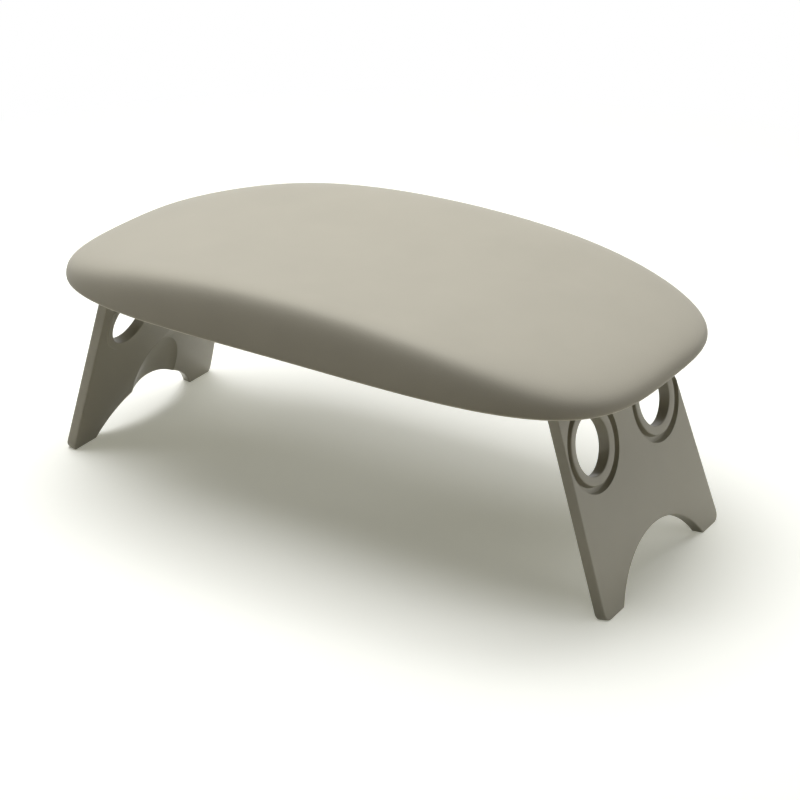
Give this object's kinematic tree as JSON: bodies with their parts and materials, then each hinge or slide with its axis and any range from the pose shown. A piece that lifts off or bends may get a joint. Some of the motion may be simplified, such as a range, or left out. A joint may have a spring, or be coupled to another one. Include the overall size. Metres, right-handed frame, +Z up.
{
  "type": "manicure hand rest",
  "caption": "Arched, padded hand rest for manicures: a soft matte cushion over a stiff board, carried by two splayed moulded panel legs with ringed round holes and arched feet.",
  "frame": {"origin": "centre of the footprint, on the table top under the feet", "axes": "+X along the length from one leg to the other, -Y towards the person whose hand rests on it, +Z up"},
  "size_m": [0.3, 0.1654, 0.1232],
  "materials": {
    "cover_skin": "soft matte imitation leather with a very fine grain",
    "foam": "open-cell upholstery foam",
    "board_plastic": "moulded ABS, matte",
    "leg_plastic": "moulded ABS, satin",
    "screw_steel": "zinc-plated steel"
  },
  "bodies": {
    "root": {"pad_cover": "cover_skin", "foam_pad": "foam", "base_board": "board_plastic", "left_leg": "leg_plastic", "right_leg": "leg_plastic", "left_leg_screw_1": "screw_steel", "left_leg_screw_2": "screw_steel", "left_leg_screw_3": "screw_steel", "left_leg_screw_4": "screw_steel", "right_leg_screw_1": "screw_steel", "right_leg_screw_2": "screw_steel", "right_leg_screw_3": "screw_steel", "right_leg_screw_4": "screw_steel"}
  },
  "joints": []
}
